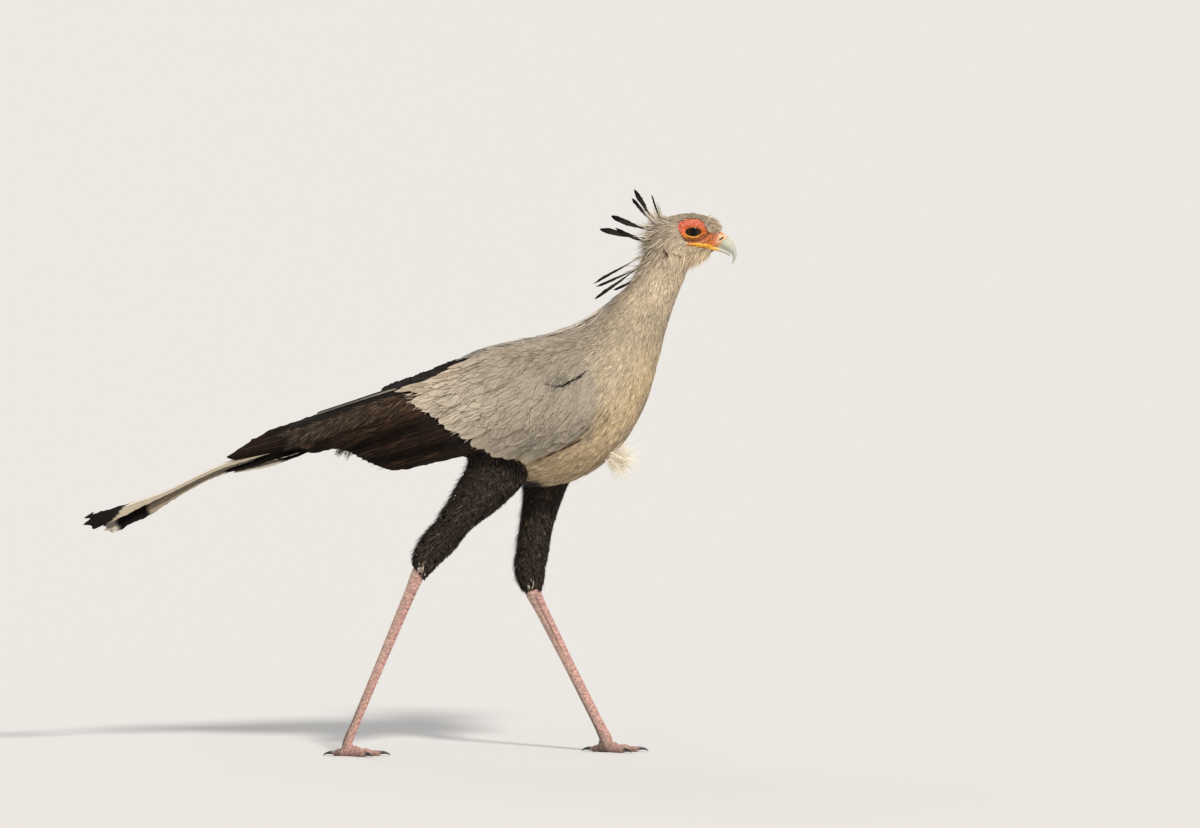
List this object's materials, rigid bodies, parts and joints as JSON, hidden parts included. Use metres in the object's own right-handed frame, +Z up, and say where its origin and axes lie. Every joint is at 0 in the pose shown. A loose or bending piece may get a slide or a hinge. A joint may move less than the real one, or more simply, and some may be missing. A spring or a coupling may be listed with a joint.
{
  "type": "secretary bird",
  "caption": "Walking secretary bird at life size: long legs, folded wings, quill crest and long central tail feathers.",
  "frame": {"origin": "centre of the bounding box on the ground", "axes": "+X from tail to bill, +Y to the bird's left, +Z up"},
  "size_m": [1.1428, 0.2058, 0.9914],
  "materials": {
    "grey_feathers": "soft grey feathers",
    "pale_feathers": "soft pale feathers",
    "wing_feathers": "grey and black vanes",
    "tail_feathers": "banded vanes",
    "black_feathers": "short black feathers",
    "leg_scales": "dull pink scales",
    "bill_horn": "smooth pale horn",
    "claw_horn": "smooth black horn",
    "eye": "wet dark brown"
  },
  "bodies": {
    "root": {"head": "grey_feathers", "bill_upper": "bill_horn", "bill_lower": "bill_horn", "eye_left": "eye", "eye_right": "eye", "neck": "pale_feathers", "torso": "pale_feathers", "wing_left": "wing_feathers", "wing_right": "wing_feathers", "tail": "tail_feathers", "thigh_left": "black_feathers", "thigh_right": "black_feathers", "tarsus_left": "leg_scales", "tarsus_right": "leg_scales", "foot_left": "leg_scales", "foot_right": "leg_scales", "claw_left_middle": "claw_horn", "claw_left_outer": "claw_horn", "claw_left_inner": "claw_horn", "claw_left_hind": "claw_horn", "claw_right_middle": "claw_horn", "claw_right_outer": "claw_horn", "claw_right_inner": "claw_horn", "claw_right_hind": "claw_horn"}
  },
  "joints": []
}
